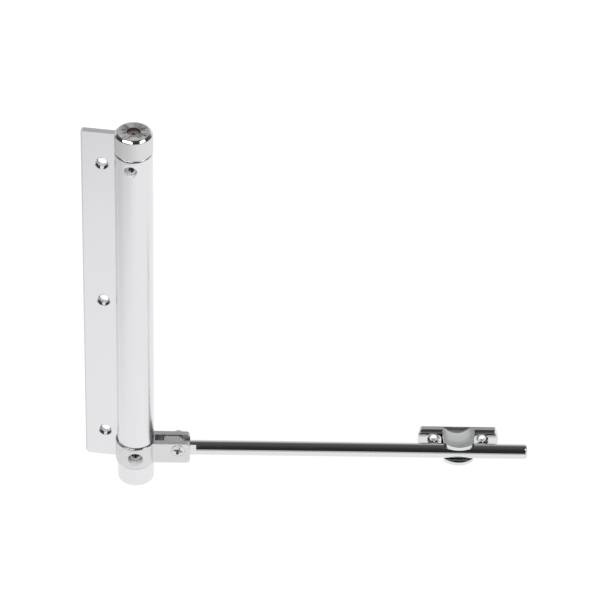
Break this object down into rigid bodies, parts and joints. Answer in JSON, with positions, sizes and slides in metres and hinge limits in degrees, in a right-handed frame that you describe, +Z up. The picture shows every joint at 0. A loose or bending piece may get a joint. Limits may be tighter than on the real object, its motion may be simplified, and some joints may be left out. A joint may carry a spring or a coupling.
{
  "type": "spring door closer",
  "caption": "Spring door closer: a tube with a screw flange holds a torsion spring that turns a clevis lever, whose long rod pushes the door through a sliding roller guide.",
  "frame": {"origin": "centre of the flange's three screw holes, on the flange's back face, which lies against the door frame", "axes": "+X from the flange towards the arm, +Y into the door frame (out of the flange's back), +Z up along the tube"},
  "size_m": [0.2425, 0.0535, 0.229],
  "materials": {
    "anodised_aluminium": "fine satin anodised",
    "cap_metal": "satin side, turned top face",
    "satin_chrome": "satin chrome on a zinc casting",
    "polished_chrome": "polished chrome plating",
    "plain_steel": "machined",
    "screw_steel": "dull grey set screw",
    "plated_steel": "zinc plated",
    "spring_steel": "oiled spring wire",
    "spindle_bronze": "dull brown end face",
    "bush_brass": "machined",
    "white_nylon": "plain moulded"
  },
  "bodies": {
    "housing": {"housing": "anodised_aluminium", "upper_bush": "plain_steel", "lower_bush": "bush_brass", "tension_lock_screw": "screw_steel", "torsion_spring": "spring_steel"},
    "adjuster": {"tension_cap": "cap_metal", "adjuster_spindle": "spindle_bronze"},
    "lever": {"lever_spindle": "plain_steel", "lever_collar": "satin_chrome", "bottom_cap": "anodised_aluminium", "collar_set_screw": "screw_steel", "thrust_washer": "plated_steel", "spindle_circlip": "plain_steel", "pivot_screw": "plated_steel", "pivot_washer": "plated_steel", "pivot_nut": "plated_steel"},
    "rod": {"push_rod": "polished_chrome"},
    "roller": {"guide_roller": "white_nylon"},
    "guide": {"guide_bracket": "polished_chrome", "roller_pin": "plain_steel"}
  },
  "joints": [
    {"name": "tension_adjust", "type": "hinge", "parent": "housing", "child": "adjuster", "pos_m": [0.0185, -0.0115, 0.1047], "axis": [0, 0, 1], "range_deg": [0, 360], "deforming": ["torsion_spring"]},
    {"name": "arm_swing", "type": "hinge", "parent": "housing", "child": "lever", "pos_m": [0.0185, -0.0115, -0.092], "axis": [0, 0, 1], "range_deg": [-130, 10], "stiffness_Nm_per_rad": 1.5, "deforming": ["torsion_spring"]},
    {"name": "rod_pitch", "type": "hinge", "parent": "lever", "child": "rod", "pos_m": [0.04145, -0.00807, -0.0901], "axis": [-0.1478, 0.989, 0], "range_deg": [-30, 30]},
    {"name": "guide_slide", "type": "slide", "parent": "rod", "child": "roller", "axis": [0.989, 0.1478, 0], "range_m": [-0.118, 0.03]},
    {"name": "guide_swing", "type": "hinge", "parent": "roller", "child": "guide", "pos_m": [0.19246, 0.02198, -0.092], "axis": [0, 0, 1], "range_deg": [-12, 12]}
  ]
}
